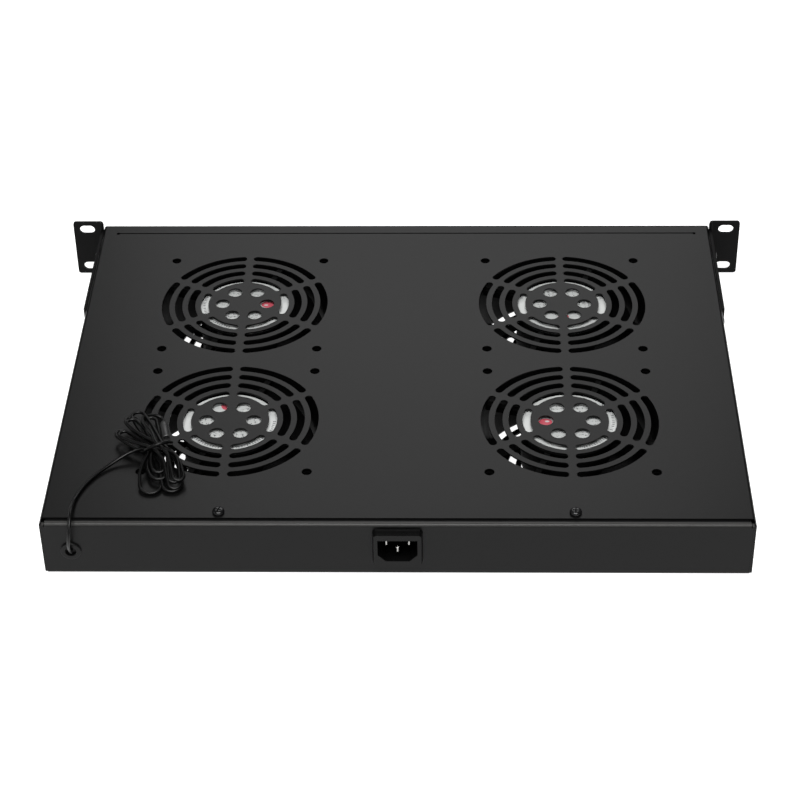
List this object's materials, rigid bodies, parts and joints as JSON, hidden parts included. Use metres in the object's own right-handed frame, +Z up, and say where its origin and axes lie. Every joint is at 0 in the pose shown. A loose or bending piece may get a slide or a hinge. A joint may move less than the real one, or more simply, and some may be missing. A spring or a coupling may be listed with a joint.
{
  "type": "rack fan tray",
  "caption": "Low steel rack tray with ring-slotted grilles over upward-blowing fans, bolted rack ears, a mains inlet and a corded temperature sensor at the rear.",
  "frame": {"origin": "middle of the tray's flat underside, halfway between the front and rear panel faces", "axes": "+X across the rack, to the right as seen from the front; +Y from the front ears to the rear panel; +Z up, the way the fans blow"},
  "size_m": [0.485, 0.3446, 0.0578],
  "materials": {
    "chassis_paint": "fine satin powder coat",
    "bracket_paint": "fine satin powder coat",
    "black_screw": "gloss black",
    "fan_casting": "semi-gloss black",
    "impeller_plastic": "satin",
    "shaft_steel": "ground",
    "bearing_bronze": "sintered",
    "stator_copper": "enamelled winding",
    "inlet_plastic": "gloss",
    "pin_metal": "nickel plated",
    "connector_plastic": "satin",
    "case_plastic": "fine texture",
    "window_tint": "polished dark red",
    "key_rubber": "matt",
    "terminal_plastic": "satin",
    "zinc_steel": "zinc plated",
    "brass_tag": "tinned",
    "lead_sheath": "satin",
    "earth_sheath": "satin",
    "grommet_rubber": "matt",
    "probe_plastic": "gloss"
  },
  "bodies": {
    "chassis": {"bottom_tray": "chassis_paint", "top_cover": "chassis_paint", "rack_bracket_left": "bracket_paint", "rack_bracket_right": "bracket_paint", "bracket_screws_left": "black_screw", "bracket_screws_right": "black_screw", "cover_screws": "black_screw", "fan_screws": "black_screw", "mains_inlet": "inlet_plastic", "inlet_pins": "pin_metal", "inlet_connector": "connector_plastic", "thermostat_case": "case_plastic", "thermostat_bezel": "case_plastic", "display_window": "window_tint", "power_switch_body": "case_plastic", "terminal_block": "terminal_plastic", "terminal_screws": "zinc_steel", "earth_screw": "zinc_steel", "earth_tag": "brass_tag", "inlet_lead": "lead_sheath", "switch_lead": "lead_sheath", "thermostat_lead": "lead_sheath", "sensor_lead": "lead_sheath", "earth_lead": "earth_sheath", "sensor_grommet": "grommet_rubber", "sensor_cord": "lead_sheath", "sensor_hank": "lead_sheath", "sensor_probe": "probe_plastic", "fan_frame_front_left": "fan_casting", "fan_stator_front_left": "stator_copper", "fan_bearing_front_left": "bearing_bronze", "fan_lead_front_left": "lead_sheath", "fan_frame_front_right": "fan_casting", "fan_stator_front_right": "stator_copper", "fan_bearing_front_right": "bearing_bronze", "fan_lead_front_right": "lead_sheath", "fan_frame_rear_left": "fan_casting", "fan_stator_rear_left": "stator_copper", "fan_bearing_rear_left": "bearing_bronze", "fan_lead_rear_left": "lead_sheath", "fan_frame_rear_right": "fan_casting", "fan_stator_rear_right": "stator_copper", "fan_bearing_rear_right": "bearing_bronze", "fan_lead_rear_right": "lead_sheath"},
    "impeller_front_left": {"fan_impeller_front_left": "impeller_plastic", "fan_shaft_front_left": "shaft_steel"},
    "impeller_front_right": {"fan_impeller_front_right": "impeller_plastic", "fan_shaft_front_right": "shaft_steel"},
    "impeller_rear_left": {"fan_impeller_rear_left": "impeller_plastic", "fan_shaft_rear_left": "shaft_steel"},
    "impeller_rear_right": {"fan_impeller_rear_right": "impeller_plastic", "fan_shaft_rear_right": "shaft_steel"},
    "power_rocker": {"power_rocker": "inlet_plastic"},
    "key_set": {"key_set": "key_rubber"},
    "key_up": {"key_up": "key_rubber"},
    "key_down": {"key_down": "key_rubber"}
  },
  "joints": [
    {"name": "impeller_front_left_spin", "type": "hinge", "parent": "chassis", "child": "impeller_front_left", "pos_m": [-0.11, -0.0669, 0.02], "axis": [0, 0, 1], "continuous": true},
    {"name": "impeller_front_right_spin", "type": "hinge", "parent": "chassis", "child": "impeller_front_right", "pos_m": [0.11, -0.0669, 0.02], "axis": [0, 0, 1], "continuous": true},
    {"name": "impeller_rear_left_spin", "type": "hinge", "parent": "chassis", "child": "impeller_rear_left", "pos_m": [-0.11, 0.0632, 0.02], "axis": [0, 0, 1], "continuous": true},
    {"name": "impeller_rear_right_spin", "type": "hinge", "parent": "chassis", "child": "impeller_rear_right", "pos_m": [0.11, 0.0632, 0.02], "axis": [0, 0, 1], "continuous": true},
    {"name": "power_rocker_tip", "type": "hinge", "parent": "chassis", "child": "power_rocker", "pos_m": [-0.15, -0.162, 0.0206], "axis": [1, 0, 0], "range_deg": [-16, 0]},
    {"name": "key_set_push", "type": "slide", "parent": "chassis", "child": "key_set", "axis": [0, 1, 0], "range_m": [0, 0.0008], "stiffness_N_per_m": 1500},
    {"name": "key_up_push", "type": "slide", "parent": "chassis", "child": "key_up", "axis": [0, 1, 0], "range_m": [0, 0.0008], "stiffness_N_per_m": 1500},
    {"name": "key_down_push", "type": "slide", "parent": "chassis", "child": "key_down", "axis": [0, 1, 0], "range_m": [0, 0.0008], "stiffness_N_per_m": 1500}
  ]
}
